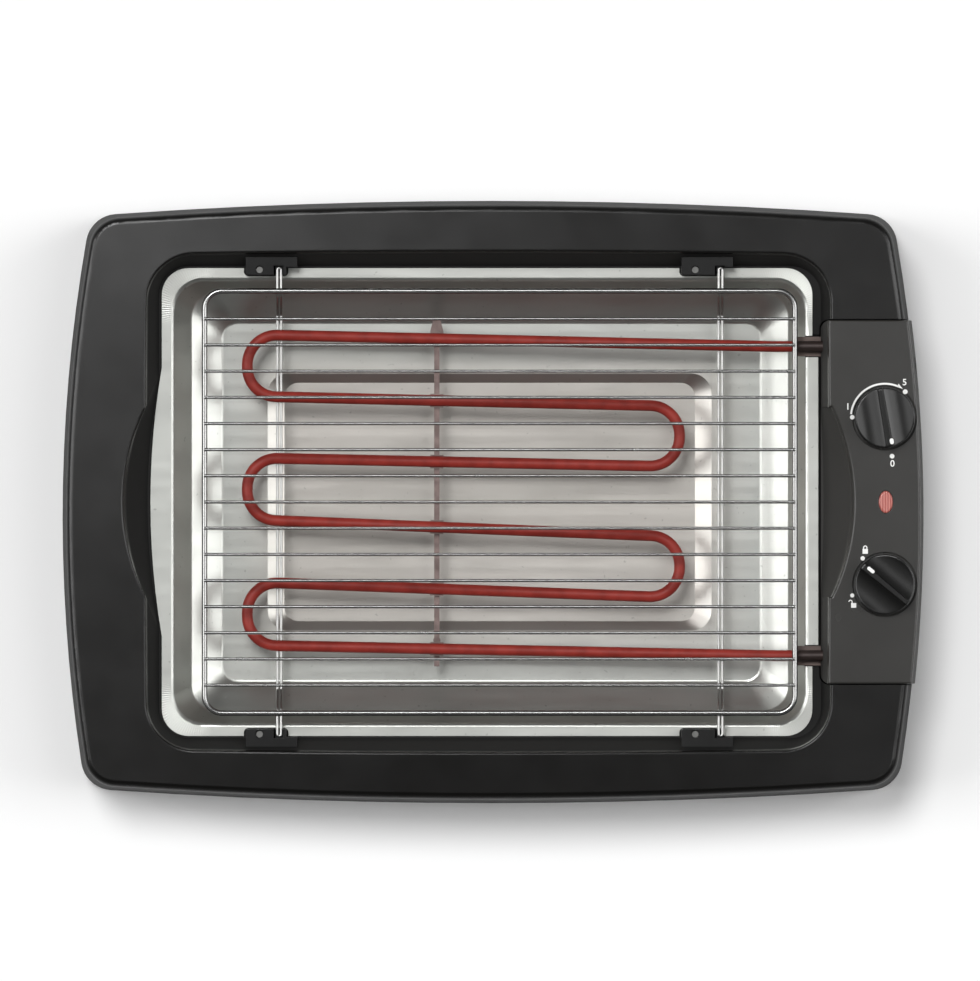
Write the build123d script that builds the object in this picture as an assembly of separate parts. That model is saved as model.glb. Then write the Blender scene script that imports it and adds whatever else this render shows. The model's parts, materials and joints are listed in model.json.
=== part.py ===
from build123d import *
import math
import os

# Electric tabletop barbecue grill, in millimetres.
# +X runs towards the control unit, +Y to the rear and +Z up. The model is drawn about the middle of
# the base and moved by SHIFT_X when it is written, so that the origin is under the middle of the whole.

# Base moulding
BASE_LENGTH = 544.0
BASE_WIDTH = 382.0
LONG_SIDE_BOW = 9.5
END_BOW_REAR = 17.8
END_BOW_FRONT = 14.4
CORNER_R = 20.0
SKIRT_FOOT_Z = 4.0
CROWN_Z = 80.0
CROWN_R = 4200.0
END_DRAFT = 3.6
LONG_SIDE_DRAFT = 3.2
WALL = 2.8
EDGE_R = 4.5
CREASE_R = 1.2

# Opening of the base: the sloped inner wall, the ledge and the well
LEDGE_Z = 50.0
CREASE_Z = 75.0
LEDGE_HALF_X, LEDGE_HALF_Y, LEDGE_R, LEDGE_X = 209.5, 149.5, 19.0, -1.0
CREASE_HALF_X, CREASE_HALF_Y, CREASE_CORNER_R, CREASE_X = 217.5, 158.0, 32.0, -2.0
WELL_HALF_X, WELL_HALF_Y, WELL_R, WELL_X = 202.2, 142.5, 17.0, -1.2
OPENING_TOP_Z = 90.0

# Finger scoops, one in the base and one in the control unit
# Each is given at the ledge and at the crease by the X of its ends, their Y and the X of its middle.
SCOOP_TOP_Z = 82.0
BASE_SCOOP_LEDGE = (206.0, 100.0, 217.7)
BASE_SCOOP_CREASE = (215.5, 63.0, 234.6)
UNIT_SCOOP_LEDGE = (208.3, 60.0, 210.0)
UNIT_SCOOP_CREASE = (215.6, 60.0, 230.8)

# Control unit and its bay
UNIT_PROUD = 2.2
UNIT_HALF_Y = 115.0
UNIT_FACE_X = 208.3
UNIT_WALL = 2.6
UNIT_CORNER_R = 6.0
BAY_X = 207.6
BAY_HALF_Y = 115.5
BAY_FLOOR_Z = 12.0
COVER_Z = 17.0
COVER_T = 2.5

# Drip tray, pressed from one sheet
SHEET = 0.8
TRAY_FLOOR_Z = 25.0
TRAY_PANEL_DROP = 3.5
FLANGE_HALF_X, FLANGE_HALF_Y, FLANGE_R, FLANGE_X = 205.8, 148.0, 17.0, -2.8
RIDGE_HALF_X, RIDGE_HALF_Y, RIDGE_R, RIDGE_X = 200.2, 140.3, 19.0, -1.2
SLOPE_HALF_X, SLOPE_HALF_Y, SLOPE_R, SLOPE_X = 189.2, 132.5, 16.0, -1.0
FLOOR_HALF_X, FLOOR_HALF_Y, FLOOR_R, FLOOR_X = 170.5, 113.5, 10.0, 0.0
PANEL_HALF_X, PANEL_HALF_Y, PANEL_R, PANEL_X = 140.6, 81.5, 13.0, -1.2
PANEL_SLOPE_X, PANEL_SLOPE_Y, PANEL_LOW_R = 10.5, 6.0, 9.0
SLOPE_DROP = 15.0
BEAD_R = 3.0
BEND_FILLET_R = 3.0
TAB_HALF_Y = 85.0
TAB_REACH = 7.2
RIGHT_LIP = 3.7
NOTCH_R = 3.0
NOTCH_GAP = 1.4

# Clips and doubled support wires
WIRE_D = 1.8
WIRE_GAP = 2.4
WIRE_LEFT_X = -134.3
WIRE_RIGHT_X = 144.8
CLIP_LENGTH = 32.4
CLIP_BODY_LENGTH = 25.4
CLIP_END_SETBACK = 4.9
CLIP_LEFT_START = -21.0
CLIP_RIGHT_START = -24.6
CLIP_FRONT_Y = 143.6
CLIP_TOP_Z = 66.0
CLIP_SLOT_DEPTH = 5.8
CLIP_SLOT_WIDTH = 6.4
WIRE_END_Y = 147.8
WIRE_KNEE_Y = 131.0
WIRE_FOOT_Y = 119.0

# Rack
FRAME_WIRE_D = 3.6
ROD_D = 2.0
RACK_Z = 67.0
RACK_X = 5.2
RACK_HALF_X = 186.6
RACK_HALF_Y = 133.4
RACK_CORNER_R = 11.0
ROD_COUNT = 15
ROD_PITCH = 16.54
ROD_LENGTH = 374.0
WELD_SINK = 0.25

# Heating element: the six runs, from the rear to the front, at the left bends and at the right
TUBE_D = 7.0
ELEMENT_Z = 53.0
BEND_LEFT_X = -154.5
BEND_RIGHT_X = 119.0
TUBE_END_X = 191.0
RUNS_LEFT_Y = (106.0, 67.0, 28.0, -11.0, -50.5, -90.5)
RUNS_RIGHT_Y = (98.4, 60.6, 22.4, -22.0, -60.6, -97.2)
BEND_R = 18.6
TUBE_END_STRAIGHT = 12.0
SLEEVE_END_X = 213.0
SEAL_D = 6.0
SEAL_LENGTH = 4.0
PLATE_T = 0.9
PLATE_Z = 48.5
PIN_D = 3.0
PIN_END_X = 232.0
STRAP_X = -34.6
STRAP_WIDTH = 3.4
STRAP_T = 0.8
STRAP_REAR_Y = 112.0
STRAP_FRONT_Y = -104.0
SADDLE_LENGTH = 8.4

# Knobs and panel
KNOB_X = 248.6
THERMOSTAT_Y = 53.3
LOCK_Y = -52.0
KNOB_R = 19.0
KNOB_FOOT_Z = 70.8
KNOB_TOP_Z = 87.0
KNOB_DISH_Z = 80.0
KNOB_DISH_R = 24.0
KNOB_DISH_Y = 11.0
BLADE_TAIL_HALF = 1.1
BLADE_TIP_HALF = 1.6
BLADE_DRAFT = 0.9
RIM_R = 1.0
# Reach, side, length and width of the raised pad that carries a knob's white mark
THERMOSTAT_PAD = (15.6, 1.6, 4.8, 3.4)
LOCK_PAD = (12.7, -1.3, 6.4, 3.2)
POCKET_R = 20.3
POCKET_Z = 70.4
PANEL_BOSS_Z = 67.8
SHAFT_R = 3.0
SHAFT_FIT = 0.05
SPINDLE_TOP_Z = 78.6
CLIP_RING_Z = 60.5
THERMOSTAT_REST_DEG = -80.5
LOCK_REST_DEG = 140.5
LENS_X = 249.2
LENS_WIDTH = 9.0
LENS_LENGTH = 14.0

# Gland, terminal block and leads
GLAND_Y = 88.0
GLAND_Z = 31.0
GLAND_R = 6.5
GLAND_BORE_R = 3.6
GLAND_START_X = 258.5
GLAND_MOUTH_X = 267.7
BLOCK_X0, BLOCK_X1 = 234.0, 252.0
BLOCK_Y0, BLOCK_Y1 = -24.0, 16.0
BLOCK_Z0, BLOCK_Z1 = COVER_Z + COVER_T, 34.0
LEAD_R = 1.2

# Feet and floor
FLOOR_T = 2.6
FLOOR_Z = 5.0
FOOT_X, FOOT_Y = 222.0, 150.0
FOOT_R = 10.0
FOOT_STEM_R = 5.0

SHIFT_X = -0.91


# Placing and writing

def box(x0, x1, y0, y1, z0, z1):
    middle = Pos((x0 + x1) / 2, (y0 + y1) / 2, (z0 + z1) / 2)
    return middle * Box(x1 - x0, y1 - y0, z1 - z0)


def post(x, y, z0, z1, radius):
    return Pos(x, y, (z0 + z1) / 2) * Cylinder(radius, z1 - z0)


def rod_x(x0, x1, y, z, radius):
    return Pos((x0 + x1) / 2, y, z) * Rot(Y=90) * Cylinder(radius, x1 - x0)


def write(name, *solids):
    moved = [Pos(SHIFT_X, 0, 0) * solid for item in solids for solid in item.solids()]
    shape = moved[0] if len(moved) == 1 else Compound(children=moved)
    shape.label = name
    export_step(shape, os.path.join("parts", name + ".step"))


# Outlines

def bowed_face(length, width, corner_r, z):
    """Rounded rectangle whose four sides bow outwards, a little wider at the front."""
    x_mid, y_mid = length / 2, width / 2
    y_corner = y_mid - LONG_SIDE_BOW
    rear_x, front_x = x_mid - END_BOW_REAR, x_mid - END_BOW_FRONT
    sides = [
        ThreePointArc((front_x, -y_corner), (x_mid, 0), (rear_x, y_corner)),
        ThreePointArc((rear_x, y_corner), (0, y_mid), (-rear_x, y_corner)),
        ThreePointArc((-rear_x, y_corner), (-x_mid, 0), (-front_x, -y_corner)),
        ThreePointArc((-front_x, -y_corner), (0, -y_mid), (front_x, -y_corner)),
    ]
    face = make_face(Curve() + sides)
    face = fillet(face.vertices(), corner_r)
    return Pos(0, 0, z) * face


def rounded_face(half_x, half_y, radius, x, z):
    return Pos(x, 0, z) * RectangleRounded(2 * half_x, 2 * half_y, radius)


def crown_edges(shape, x0, x1, half_y):
    """Edges of a shape that lie on the crown, within the given limits."""
    centre = Vector(0, 0, CROWN_Z - CROWN_R)
    found = []
    for edge in shape.edges():
        on_crown = all(abs((edge @ share - centre).length - CROWN_R) < 0.02 for share in (0, 0.5, 1))
        middle = edge @ 0.5
        if on_crown and x0 < middle.X < x1 and abs(middle.Y) < half_y:
            found.append(edge)
    return found


def crown(inset=0.0):
    """Shallow dome that every top face belongs to."""
    return Pos(0, 0, CROWN_Z - CROWN_R) * Rot(X=90) * Sphere(CROWN_R - inset)


def body_block(inset=0.0, proud=0.0):
    """Space inside the drafted skirt, up to the crown."""
    length = BASE_LENGTH + 2 * proud - 2 * inset
    width = BASE_WIDTH - 2 * inset
    radius = CORNER_R - inset
    low = bowed_face(length, width, radius, SKIRT_FOOT_Z)
    high = bowed_face(length - 2 * END_DRAFT, width - 2 * LONG_SIDE_DRAFT, radius, CROWN_Z)
    return loft([low, high], ruled=True) & crown(inset)


def opening_level(z, grow):
    rise = (z - LEDGE_Z) / (CREASE_Z - LEDGE_Z)
    half_x = LEDGE_HALF_X + (CREASE_HALF_X - LEDGE_HALF_X) * rise + grow
    half_y = LEDGE_HALF_Y + (CREASE_HALF_Y - LEDGE_HALF_Y) * rise + grow
    radius = LEDGE_R + (CREASE_CORNER_R - LEDGE_R) * rise + grow
    middle = LEDGE_X + (CREASE_X - LEDGE_X) * rise
    return rounded_face(half_x, half_y, radius, middle, z)


def scoop_face(ledge, crease, z, grow):
    """Arc outwards between the ends, closed by a straight back inside the opening."""
    rise = (z - LEDGE_Z) / (CREASE_Z - LEDGE_Z)
    edge, half_y, reach = [low + (high - low) * rise for low, high in zip(ledge, crease)]
    end_y = half_y + grow
    back = edge - 12
    arc = ThreePointArc((edge, -end_y), (reach + grow, 0), (edge, end_y))
    rest = Polyline((edge, end_y), (back, end_y), (back, -end_y), (edge, -end_y))
    return Pos(0, 0, z) * make_face(Curve() + [arc, rest])


def scoop_block(ledge, crease, grow=0.0):
    levels = (LEDGE_Z - grow, SCOOP_TOP_Z)
    return loft([scoop_face(ledge, crease, z, grow) for z in levels], ruled=True)


def base_opening(grow=0.0):
    low_z = LEDGE_Z - grow
    sloped = loft([opening_level(low_z, grow), opening_level(OPENING_TOP_Z, grow)], ruled=True)
    scoop = mirror(scoop_block(BASE_SCOOP_LEDGE, BASE_SCOOP_CREASE, grow), about=Plane.YZ)
    well = extrude(rounded_face(WELL_HALF_X + grow, WELL_HALF_Y + grow, WELL_R + grow, WELL_X, 0), LEDGE_Z)
    return sloped + scoop + well


def bay_block(grow=0.0):
    """Room for the control unit, with its two inner corners rounded."""
    length = 100.0
    outline = RectangleRounded(length, 2 * (BAY_HALF_Y + grow), UNIT_CORNER_R + grow)
    middle_x = BAY_X - grow + length / 2
    return extrude(Pos(middle_x, 0, BAY_FLOOR_Z - grow) * outline, CROWN_Z)


# Base

def boss_places():
    corners = [(x * 232.0, y * 163.0) for x in (-1, 1) for y in (-1, 1)]
    middles = [(x, y * 170.0) for x in (-80.0, 80.0) for y in (-1, 1)]
    return corners + middles + [(-244.0, 66.0), (-244.0, -66.0)]


def clip_places():
    """Name, wire X, clip start relative to the wire and side of each clip."""
    return [
        ("clip_rear_left", WIRE_LEFT_X, CLIP_LEFT_START, 1),
        ("clip_rear_right", WIRE_RIGHT_X, CLIP_RIGHT_START, 1),
        ("clip_front_left", WIRE_LEFT_X, CLIP_LEFT_START, -1),
        ("clip_front_right", WIRE_RIGHT_X, CLIP_RIGHT_START, -1),
    ]


def clip_screw_place(wire_x, start, side):
    return wire_x + start + 8.6, side * 146.8


def base_housing():
    block = body_block()
    top = block.faces().sort_by(Axis.Z)[-1]
    block = fillet(top.edges(), EDGE_R)
    shell_space = body_block(WALL)
    under_floor = shell_space & box(-300, 300, -200, 200, 0, FLOOR_Z + FLOOR_T)
    cavity = shell_space - base_opening(WALL) - bay_block(WALL) + under_floor
    ribs = housing_ribs() & cavity
    housing = block - base_opening() - bay_block() - cavity + ribs
    housing = fillet(crown_edges(housing, -235, BAY_X + 9, 165), CREASE_R)
    for x, y in boss_places():
        boss = post(x, y, FLOOR_Z + FLOOR_T, CROWN_Z, 4.5) & shell_space
        housing = housing + boss - post(x, y, 0, 24.0, 1.5)
    for _, wire_x, start, side in clip_places():
        x, y = clip_screw_place(wire_x, start, side)
        housing = housing + post(x, y, 38.0, LEDGE_Z, 3.4) - post(x, y, 40.0, LEDGE_Z, 1.2)
    for y in (RUNS_RIGHT_Y[0], RUNS_RIGHT_Y[-1]):
        housing = housing - box(190, BAY_X + 0.1, y - 7.4, y + 7.4, PLATE_Z - 0.5, LEDGE_Z + 1)
    keeper = box(229.0, 239.0, LOCK_Y + 3.4, LOCK_Y + 5.6, BAY_FLOOR_Z - 0.5, COVER_Z - 0.3)
    return housing + keeper


def housing_ribs():
    """Upright ribs across the hollow ring."""
    low, high, thick = 14.0, CROWN_Z, 1.0
    ribs = [box(x - thick, x + thick, -200, 200, low, high) for x in (-150.0, 0.0, 150.0)]
    ribs += [box(-280, 0, y - thick, y + thick, low, high) for y in (-110.0, 0.0, 110.0)]
    return Compound(children=ribs)


def vent_slots():
    slots = [(x, y) for x in range(-120, 121, 20) for y in (-60, 60)]
    shape = Pos(0, 0, 0) * SlotOverall(60, 3.4, rotation=90)
    return [extrude(Pos(x, y, 0) * shape, 20) for x, y in slots]


def base_floor():
    room = body_block(WALL + 0.4)
    floor = room & box(-300, 300, -200, 200, FLOOR_Z, FLOOR_Z + FLOOR_T)
    for slot in vent_slots():
        floor = floor - slot
    for x, y in boss_places():
        floor = floor - post(x, y, 0, 20, 1.9)
    for x, y in foot_places():
        floor = floor - post(x, y, 0, 20, FOOT_STEM_R)
    return floor


def foot_places():
    return [(-FOOT_X, -FOOT_Y), (FOOT_X, -FOOT_Y), (-FOOT_X, FOOT_Y), (FOOT_X, FOOT_Y)]


def rubber_foot(x, y):
    """Turned pad with a stem and a barb that snaps into the floor."""
    top = FLOOR_Z + FLOOR_T
    profile = [(0, 0), (8.2, 0), (FOOT_R, 1.6), (FOOT_R, FLOOR_Z), (FOOT_STEM_R, FLOOR_Z),
               (FOOT_STEM_R, top), (FOOT_STEM_R + 1, top), (3.4, top + 3.4), (0, top + 3.4), (0, 0)]
    face = make_face(Plane.XZ * Polyline(*profile))
    return Pos(x, y, 0) * revolve(face, Axis.Z)


def floor_screw(x, y):
    head = post(x, y, FLOOR_Z - 2.0, FLOOR_Z, 3.4)
    shank = post(x, y, FLOOR_Z, 20.0, 1.5)
    drive = box(x - 2.2, x + 2.2, y - 0.45, y + 0.45, 0, 3.9) + box(x - 0.45, x + 0.45, y - 2.2, y + 2.2, 0, 3.9)
    return head + shank - drive


# Clips and wires

def clip(wire_x, start, side):
    """Block on the ledge whose slot holds the end of a doubled wire."""
    x0 = wire_x + start
    x1 = x0 + CLIP_LENGTH
    body = box(x0, x1, CLIP_FRONT_Y, 160, LEDGE_Z, CLIP_TOP_Z)
    end_y = CLIP_FRONT_Y + CLIP_END_SETBACK
    body = body - box(x0 + CLIP_BODY_LENGTH, x1 + 1, 100, end_y, LEDGE_Z - 1, CLIP_TOP_Z + 1)
    body = fillet(body.edges().filter_by(Axis.Z).sort_by(Axis.Y)[:2], 1.0)
    body = body & base_opening()
    slot_left = wire_x - CLIP_SLOT_WIDTH + 2.9
    slot_right = wire_x + 2.9
    slot_back = CLIP_FRONT_Y + CLIP_SLOT_DEPTH
    seat_z = wire_high_z() - WIRE_D / 2 - 0.05
    body = body - box(slot_left, slot_right, 100, slot_back, seat_z, CLIP_TOP_Z + 1)
    body = body - box(slot_left, wire_x - 2.4, CLIP_FRONT_Y - 1, slot_back, LEDGE_Z - 1, CLIP_TOP_Z)
    screw_x, screw_y = clip_screw_place(wire_x, start, 1)
    body = body - post(screw_x, screw_y, LEDGE_Z - 1, CLIP_TOP_Z, 1.3)
    body = body - post(screw_x, screw_y, CLIP_TOP_Z - 3.5, CLIP_TOP_Z + 1, 2.5)
    return body if side > 0 else mirror(body, about=Plane.XZ)


def clip_screw(wire_x, start, side):
    x, y = clip_screw_place(wire_x, start, side)
    seat = CLIP_TOP_Z - 3.5
    head = post(x, y, seat, seat + 1.8, 2.1)
    return head + post(x, y, 41.0, seat, 1.2)


def wire_high_z():
    return RACK_Z - FRAME_WIRE_D / 2 - 0.3 - WIRE_D / 2


def wire_low_z():
    return ELEMENT_Z - TUBE_D / 2 - 0.3 - WIRE_D / 2


def support_wire(x):
    """One closed narrow loop, high at both ends and low under the element."""
    half = WIRE_GAP / 2
    low, high = wire_low_z(), wire_high_z()
    knee_r, end_r = 3.0, 1.1
    rear = [(x + half, WIRE_FOOT_Y, low), (x + half, WIRE_KNEE_Y, high), (x + half, WIRE_END_Y, high)]
    back = [(2 * x - px, py, pz) for px, py, pz in reversed(rear)]
    front = [(px, -py, pz) for px, py, pz in reversed(rear + back)]
    loop = rear + back + front
    radii = [end_r if abs(point[1]) == WIRE_END_Y else knee_r for point in loop]
    path = FilletPolyline(*loop, radius=radii, close=True)
    section = Plane(origin=path @ 0, z_dir=path % 0) * Circle(WIRE_D / 2)
    return sweep(section, path=path)


# Tray

def edges_at(shape, z):
    """Edges of a shape that lie level at the given height."""
    return [edge for edge in shape.edges() if all(abs((edge @ share).Z - z) < 0.01 for share in (0, 0.5, 1))]


def tray_hollow(thick):
    """Space inside the pressing, or inside its outer skin when thick is the sheet."""
    floor_z = TRAY_FLOOR_Z + SHEET - thick
    rim_z = LEDGE_Z + SHEET - thick
    bend_z = rim_z - SLOPE_DROP
    floor = rounded_face(FLOOR_HALF_X + thick, FLOOR_HALF_Y + thick, FLOOR_R + thick, FLOOR_X, floor_z)
    bend = rounded_face(SLOPE_HALF_X + thick, SLOPE_HALF_Y + thick, SLOPE_R + thick, SLOPE_X, bend_z)
    rim = rounded_face(RIDGE_HALF_X + thick, RIDGE_HALF_Y + thick, RIDGE_R + thick, RIDGE_X, rim_z)
    walls = loft([floor, bend], ruled=True) + loft([bend, rim], ruled=True)
    walls = fillet(edges_at(walls, bend_z) + edges_at(walls, floor_z), BEND_FILLET_R + thick)
    low_x, low_y = PANEL_HALF_X - PANEL_SLOPE_X, PANEL_HALF_Y - PANEL_SLOPE_Y
    low = rounded_face(low_x + thick, low_y + thick, PANEL_LOW_R, PANEL_X, floor_z - TRAY_PANEL_DROP)
    high = rounded_face(PANEL_HALF_X + thick, PANEL_HALF_Y + thick, PANEL_R, PANEL_X, floor_z)
    return walls + loft([low, high], ruled=True)


def ridge_edges(shape, z, grow):
    """Level edges where the flange turns down into the wall."""
    found = []
    for edge in edges_at(shape, z):
        middle = edge @ 0.5
        across = abs(middle.X - RIDGE_X) < RIDGE_HALF_X + grow + 0.1
        if across and abs(middle.Y) < RIDGE_HALF_Y + grow + 0.1:
            found.append(edge)
    return found


def flange_outline():
    outline = rounded_face(FLANGE_HALF_X, FLANGE_HALF_Y, FLANGE_R, FLANGE_X, 0)
    left = FLANGE_X - FLANGE_HALF_X
    right = FLANGE_X + FLANGE_HALF_X
    arc = ThreePointArc((left, TAB_HALF_Y), (left - TAB_REACH, 0), (left, -TAB_HALF_Y))
    rest = Polyline((left, -TAB_HALF_Y), (left + 10, -TAB_HALF_Y), (left + 10, TAB_HALF_Y), (left, TAB_HALF_Y))
    tab = make_face(Curve() + [arc, rest])
    lip_low, lip_high = RUNS_RIGHT_Y[-1] + 6, RUNS_RIGHT_Y[0] - 6
    lip = Rectangle(20, lip_high - lip_low)
    lip = Pos(right + RIGHT_LIP - 10, (lip_low + lip_high) / 2) * lip
    return outline + tab + lip


def clip_notch(wire_x, start, side):
    """Cut with rounded shoulders that lets the flange pass the body of a clip."""
    left, right = wire_x + start - NOTCH_GAP, wire_x + start + CLIP_BODY_LENGTH + NOTCH_GAP
    deep = RectangleRounded(right - left, 12, NOTCH_R)
    return Pos((left + right) / 2, side * (CLIP_FRONT_Y - 0.7 + 6)) * deep


def end_notch(y):
    start_x = TUBE_END_X + 0.6
    return Pos(start_x + 15, y) * RectangleRounded(30, 13.6, 2.0)


def drip_tray():
    flange = flange_outline()
    for _, wire_x, start, side in clip_places():
        flange = flange - clip_notch(wire_x, start, side)
    notches = [end_notch(y) for y in (RUNS_RIGHT_Y[0], RUNS_RIGHT_Y[-1])]
    rim = extrude(Pos(0, 0, LEDGE_Z) * flange, SHEET)
    tray = tray_hollow(SHEET) + rim - tray_hollow(0.0)
    tray = fillet(ridge_edges(tray, LEDGE_Z + SHEET, 0), BEAD_R)
    tray = fillet(ridge_edges(tray, LEDGE_Z, SHEET), BEAD_R - SHEET)
    for notch in notches:
        tray = tray - extrude(Pos(0, 0, PLATE_Z - 0.7) * notch, 6)
    return tray


# Rack

def rack_frame():
    outline = RectangleRounded(2 * RACK_HALF_X, 2 * RACK_HALF_Y, RACK_CORNER_R)
    path = (Pos(RACK_X, 0, RACK_Z) * outline).wire()
    start = path @ 0
    section = Plane(origin=start, z_dir=path % 0) * Circle(FRAME_WIRE_D / 2)
    return sweep(section, path=path)


def rack_rods():
    z = RACK_Z + FRAME_WIRE_D / 2 + ROD_D / 2 - WELD_SINK
    first = -(ROD_COUNT - 1) / 2 * ROD_PITCH
    places = [first + i * ROD_PITCH for i in range(ROD_COUNT)]
    half = ROD_LENGTH / 2
    return [rod_x(RACK_X - half, RACK_X + half, y, z, ROD_D / 2) for y in places]


# Heating element

def run_right_x(index):
    return TUBE_END_X - TUBE_END_STRAIGHT if index in (0, 5) else BEND_RIGHT_X


def run_slope(index):
    return (RUNS_RIGHT_Y[index] - RUNS_LEFT_Y[index]) / (run_right_x(index) - BEND_LEFT_X)


def run_y(index, x):
    """Y of a run's centre at a given X."""
    return RUNS_LEFT_Y[index] + run_slope(index) * (x - BEND_LEFT_X)


def element_points():
    points = [(TUBE_END_X, RUNS_RIGHT_Y[0], ELEMENT_Z)]
    for index in range(6):
        left = (BEND_LEFT_X, RUNS_LEFT_Y[index], ELEMENT_Z)
        right = (run_right_x(index), RUNS_RIGHT_Y[index], ELEMENT_Z)
        points += [right, left] if index % 2 == 0 else [left, right]
    return points + [(TUBE_END_X, RUNS_RIGHT_Y[-1], ELEMENT_Z)]


def heating_element():
    points = element_points()
    path = FilletPolyline(*points, radius=BEND_R)
    section = Plane(origin=points[0], z_dir=path % 0) * Circle(TUBE_D / 2)
    return sweep(section, path=path)


def end_places():
    return [RUNS_RIGHT_Y[0], RUNS_RIGHT_Y[-1]]


def cold_end_sleeve(y):
    """Unheated end of the tube, hollow round its pin."""
    sleeve = rod_x(TUBE_END_X, SLEEVE_END_X, y, ELEMENT_Z, TUBE_D / 2)
    return sleeve - rod_x(TUBE_END_X, SLEEVE_END_X, y, ELEMENT_Z, PIN_D / 2)


def element_terminal(y):
    pin = rod_x(TUBE_END_X, PIN_END_X, y, ELEMENT_Z, PIN_D / 2)
    tab = box(PIN_END_X, PIN_END_X + 8, y - 3.15, y + 3.15, ELEMENT_Z - 0.4, ELEMENT_Z + 0.4)
    return pin + tab


def element_seal(y):
    seal_end = SLEEVE_END_X + SEAL_LENGTH
    seal = rod_x(SLEEVE_END_X, seal_end, y, ELEMENT_Z, SEAL_D / 2)
    return seal - rod_x(SLEEVE_END_X, seal_end, y, ELEMENT_Z, PIN_D / 2)


def end_plate(y):
    """Folded plate round the tube's end that fills the notch in the tray."""
    plate_x = TUBE_END_X - PLATE_T
    collar = box(plate_x, TUBE_END_X, y - 6.4, y + 6.4, PLATE_Z, ELEMENT_Z + 5.4)
    collar = fillet(collar.edges().filter_by(Axis.X).sort_by(Axis.Z)[-2:], 4.0)
    leaf = box(plate_x, UNIT_FACE_X, y - 6.2, y + 6.2, PLATE_Z, PLATE_Z + PLATE_T)
    return collar + leaf - rod_x(plate_x - 1, TUBE_END_X + 1, y, ELEMENT_Z, TUBE_D / 2 + 0.05)


def element_strap():
    """Thin strip under the six runs with a saddle at each and a tapered clip at the rear."""
    top = ELEMENT_Z - TUBE_D / 2 - 0.1
    low, half = top - STRAP_T, STRAP_WIDTH / 2
    strip = Polyline((-half, STRAP_FRONT_Y), (half, STRAP_FRONT_Y), (half, 100), (4.2, 108), (2.2, STRAP_REAR_Y + 3.5),
                     (-2.2, STRAP_REAR_Y + 3.5), (-4.2, 108), (-half, 100), (-half, STRAP_FRONT_Y))
    strap = extrude(Pos(STRAP_X, 0, low) * make_face(strip), STRAP_T)
    rivet_y = (run_y(4, STRAP_X) + run_y(5, STRAP_X)) / 2 - 13.5
    strap = strap + post(STRAP_X, rivet_y, low - 0.8, top + 1.0, 2.3)
    saddle_r = TUBE_D / 2 + 0.1
    turns = [Rot(Z=math.degrees(math.atan(run_slope(index)))) * Rot(Y=90) for index in range(6)]
    runs = [Pos(STRAP_X, run_y(index, STRAP_X), ELEMENT_Z) * turn for index, turn in enumerate(turns)]
    for place in runs:
        saddle = place * Cylinder(saddle_r + STRAP_T, SADDLE_LENGTH)
        strap = strap + (saddle & box(-60, 0, -150, 150, 40, ELEMENT_Z - 0.6))
    for place in runs:
        strap = strap - place * Cylinder(saddle_r, 2 * SADDLE_LENGTH)
    return strap


# Control unit

def unit_block(inset=0.0):
    half_y = UNIT_HALF_Y - inset
    face_x = UNIT_FACE_X + inset
    length = 100.0
    outline = RectangleRounded(length, 2 * half_y, UNIT_CORNER_R - inset)
    room = extrude(Pos(face_x + length / 2, 0, 0) * outline, 120)
    slope = (CREASE_HALF_X + CREASE_X - LEDGE_HALF_X - LEDGE_X - 1.8) / (CREASE_Z - LEDGE_Z)
    top_x = face_x + slope * (OPENING_TOP_Z - LEDGE_Z)
    profile = Polyline((face_x - 30, LEDGE_Z), (face_x, LEDGE_Z), (top_x, OPENING_TOP_Z),
                       (face_x - 30, OPENING_TOP_Z), (face_x - 30, LEDGE_Z))
    slant = extrude(Pos(0, 150, 0) * make_face(Plane.XZ * profile), 300)
    block = body_block(inset, UNIT_PROUD) & room
    return block - slant - scoop_block(UNIT_SCOOP_LEDGE, UNIT_SCOOP_CREASE, inset)


def cover_boss_places():
    return [(x, y) for x in (222.0, 254.0) for y in (-107.0, 107.0)]


def control_housing():
    outer = unit_block() & box(150, 300, -150, 150, BAY_FLOOR_Z, 120)
    inner = unit_block(UNIT_WALL)
    shell = outer - inner
    shell = fillet(crown_edges(shell, BAY_X, 300, 200), CREASE_R)
    for x, y in cover_boss_places():
        boss = post(x, y, COVER_Z + COVER_T, CROWN_Z, 4.2) & inner
        shell = shell + boss - post(x, y, 0, 34.0, 1.3)
    for y in (THERMOSTAT_Y, LOCK_Y):
        pad = post(KNOB_X, y, PANEL_BOSS_Z, CROWN_Z, POCKET_R + 2.6) & unit_block(0.5)
        shell = shell + pad
        shell = shell - post(KNOB_X, y, POCKET_Z, CROWN_Z + 5, POCKET_R) - post(KNOB_X, y, 50, 90, 5.0)
    for y in end_places():
        shell = shell - rod_x(200, 220, y, ELEMENT_Z, TUBE_D / 2 + 0.3)
    shell = shell - extrude(Pos(LENS_X, 0, 60) * lens_outline(0.1), 20)
    return shell - rod_x(255, 300, GLAND_Y, GLAND_Z, GLAND_R)


def control_cover():
    room = unit_block(UNIT_WALL + 0.3)
    cover = room & box(150, 300, -150, 150, COVER_Z, COVER_Z + COVER_T)
    for x, y in cover_boss_places():
        cover = cover - post(x, y, 0, 40, 1.7)
    return cover - post(KNOB_X, LOCK_Y, 0, 40, SHAFT_R + SHAFT_FIT)


def cover_screw(x, y):
    return post(x, y, COVER_Z - 1.8, COVER_Z, 3.0) + post(x, y, COVER_Z, 31.0, 1.3)


def lens_outline(grow=0.0):
    return Ellipse(LENS_WIDTH / 2 + grow, LENS_LENGTH / 2 + grow)


def indicator_lens():
    stem = extrude(Pos(LENS_X, 0, 69.0) * lens_outline(), 4.4)
    stem = fillet(stem.faces().sort_by(Axis.Z)[-1].edges(), 1.2)
    return stem + extrude(Pos(LENS_X, 0, 67.4) * lens_outline(1.6), 1.6)


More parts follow.
